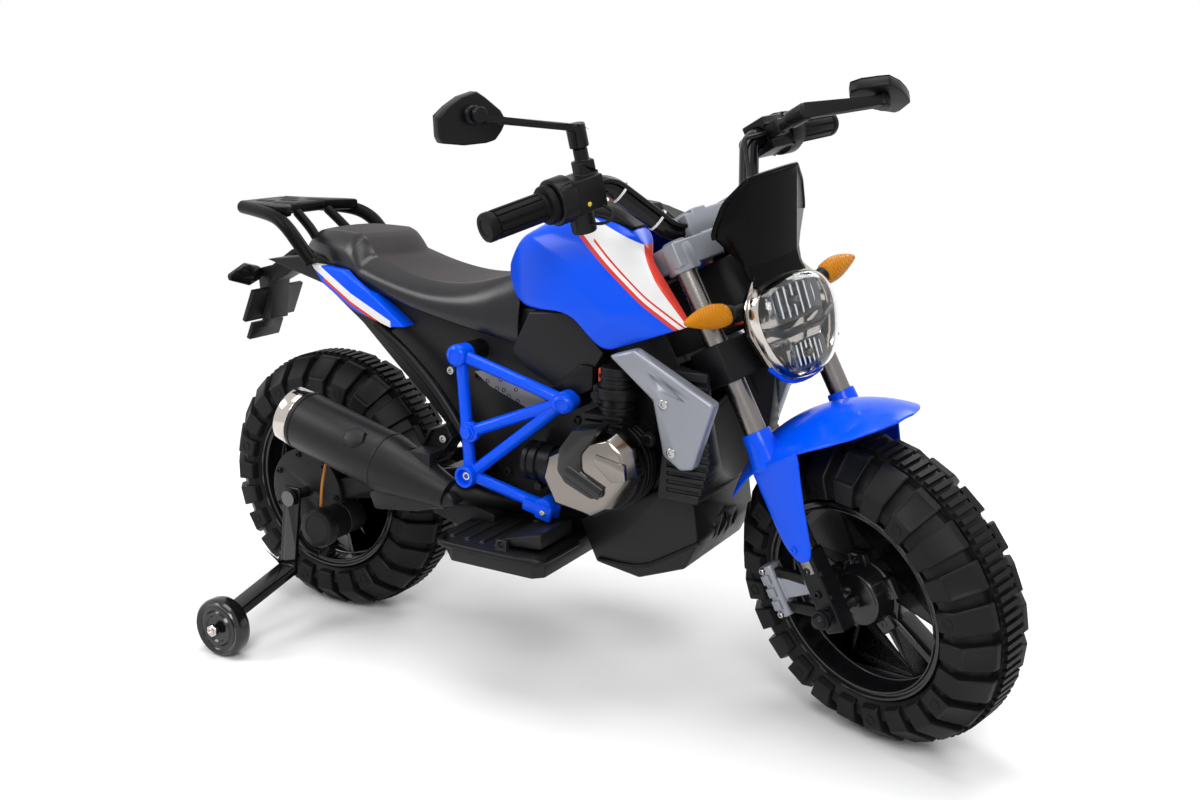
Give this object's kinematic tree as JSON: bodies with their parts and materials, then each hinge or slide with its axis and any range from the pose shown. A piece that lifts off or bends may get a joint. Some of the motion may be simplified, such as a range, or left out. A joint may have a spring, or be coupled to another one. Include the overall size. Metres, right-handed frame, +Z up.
{
  "type": "kids electric motorbike",
  "caption": "Ride-on electric toy motorbike with knobbly tyres, training wheels, turning front fork, twist grip, foot pedal, luggage rack and mirrors.",
  "frame": {"origin": "on the ground, on the centre plane, midway between the two axles", "axes": "+X forwards, +Y to the rider's left, +Z up"},
  "size_m": [1.06, 0.4861, 0.6932],
  "materials": {
    "tyre_rubber": "matte moulded",
    "wheel_plastic": "satin black",
    "body_plastic": "satin black",
    "blue_plastic": "gloss blue with white and red stripes",
    "silver_plastic": "satin silver paint",
    "fork_metal": "satin",
    "frame_metal": "satin black paint",
    "chrome_plating": "bright plating",
    "shaft_steel": "turned",
    "gear_nylon": "natural nylon",
    "seat_plastic": "fine grain",
    "grip_rubber": "ribbed",
    "switch_plastic": "satin black",
    "screen_plastic": "gloss black",
    "lens_clear": "clear",
    "amber_plastic": "translucent amber",
    "dark_lamp_plastic": "gloss black",
    "button_plastic": "gloss red"
  },
  "bodies": {
    "chassis": {"body_shell_right": "body_plastic", "body_shell_left": "body_plastic", "tank_shells": "blue_plastic", "tank_top_cover": "body_plastic", "side_covers": "body_plastic", "seat": "seat_plastic", "tail_panels": "blue_plastic", "luggage_rack": "frame_metal", "plate_bracket": "body_plastic", "rear_signals": "dark_lamp_plastic", "trellis_frame_right": "blue_plastic", "trellis_frame_left": "blue_plastic", "engine_cylinders": "body_plastic", "engine_covers": "chrome_plating", "engine_inserts": "body_plastic", "radiator_shrouds": "silver_plastic", "radiator": "body_plastic", "belly_pan": "body_plastic", "footboards": "body_plastic", "muffler": "body_plastic", "muffler_tip": "chrome_plating", "swingarm": "body_plastic", "gearbox_case": "body_plastic", "drive_motor": "body_plastic", "rear_axle": "shaft_steel", "training_stays": "frame_metal", "battery": "switch_plastic", "control_box": "switch_plastic"},
    "steering": {"steering_stem": "frame_metal", "upper_clamp": "silver_plastic", "fork_tubes": "fork_metal", "axle_lugs": "fork_metal", "brake_caliper": "silver_plastic", "front_axle": "shaft_steel", "front_fender": "blue_plastic", "headlight_bucket": "switch_plastic", "headlight_reflector": "chrome_plating", "headlight_lens": "lens_clear", "windshield": "screen_plastic", "front_signals": "amber_plastic", "handlebar": "frame_metal", "throttle_housing": "switch_plastic", "left_housing": "switch_plastic", "left_grip": "grip_rubber", "control_cables": "grip_rubber"},
    "front_wheel": {"front_tyre": "tyre_rubber", "front_rim": "wheel_plastic"},
    "rear_wheel": {"rear_tyre": "tyre_rubber", "rear_rim": "wheel_plastic", "final_gear": "gear_nylon"},
    "motor_shaft": {"motor_pinion": "gear_nylon"},
    "training_wheel_right": {"training_wheel_right": "wheel_plastic"},
    "training_wheel_left": {"training_wheel_left": "wheel_plastic"},
    "throttle": {"throttle_grip": "grip_rubber"},
    "pedal": {"foot_pedal": "body_plastic"},
    "button": {"power_button": "button_plastic"},
    "mirror_arm_right": {"mirror_arm_right": "switch_plastic"},
    "mirror_arm_left": {"mirror_arm_left": "switch_plastic"},
    "mirror_head_right": {"mirror_head_right": "switch_plastic"},
    "mirror_head_left": {"mirror_head_left": "switch_plastic"}
  },
  "joints": [
    {"name": "steering_turn", "type": "hinge", "parent": "chassis", "child": "steering", "pos_m": [0.35279, 0, 0.16484], "axis": [-0.4695, 0, 0.8829], "range_deg": [-5.3, 50.7]},
    {"name": "front_wheel_spin", "type": "hinge", "parent": "steering", "child": "front_wheel", "pos_m": [0.36175, -0.00424, 0.1696], "axis": [0.3407, 0.9225, 0.1812], "continuous": true},
    {"name": "rear_wheel_spin", "type": "hinge", "parent": "chassis", "child": "rear_wheel", "pos_m": [-0.3625, 0, 0.17], "axis": [0, 1, 0], "continuous": true},
    {"name": "motor_spin", "type": "hinge", "parent": "chassis", "child": "motor_shaft", "pos_m": [-0.31057, 0, 0.142], "axis": [0, 1, 0], "continuous": true},
    {"name": "training_wheel_right_spin", "type": "hinge", "parent": "chassis", "child": "training_wheel_right", "pos_m": [-0.376, -0.218, 0.036], "axis": [0, 1, 0], "continuous": true},
    {"name": "training_wheel_left_spin", "type": "hinge", "parent": "chassis", "child": "training_wheel_left", "pos_m": [-0.376, 0.218, 0.036], "axis": [0, 1, 0], "continuous": true},
    {"name": "throttle_twist", "type": "hinge", "parent": "steering", "child": "throttle", "pos_m": [0.05329, -0.15816, 0.56459], "axis": [-0.4117, -0.8741, -0.2577], "range_deg": [0, 30], "stiffness_Nm_per_rad": 0.4},
    {"name": "pedal_press", "type": "hinge", "parent": "chassis", "child": "pedal", "pos_m": [-0.006, -0.123, 0.194], "axis": [0, 1, 0], "range_deg": [0, 6], "stiffness_Nm_per_rad": 1.2},
    {"name": "button_press", "type": "slide", "parent": "chassis", "child": "button", "axis": [0, 0, -1], "range_m": [0, 0.0025], "stiffness_N_per_m": 300},
    {"name": "mirror_arm_right_swing", "type": "hinge", "parent": "steering", "child": "mirror_arm_right", "pos_m": [0.0684, -0.12761, 0.61921], "axis": [-0.0963, -0.2394, 0.9661], "range_deg": [-20, 20]},
    {"name": "mirror_head_right_tilt", "type": "hinge", "parent": "mirror_arm_right", "child": "mirror_head_right", "pos_m": [0.00139, -0.20852, 0.65148], "axis": [0.9062, -0.4226, -0.0144], "range_deg": [-20, 20]},
    {"name": "mirror_arm_left_swing", "type": "hinge", "parent": "steering", "child": "mirror_arm_left", "pos_m": [0.19771, 0.10822, 0.64321], "axis": [0.847, -0.2824, 0.4504], "range_deg": [-20, 20]},
    {"name": "mirror_head_left_tilt", "type": "hinge", "parent": "mirror_arm_left", "child": "mirror_head_left", "pos_m": [0.27799, 0.18034, 0.66401], "axis": [0.2931, -0.4587, -0.8389], "range_deg": [-20, 20]}
  ],
  "couplings": [
    {"joint": "motor_spin", "follows": "rear_wheel_spin", "ratio": -3.9167}
  ]
}
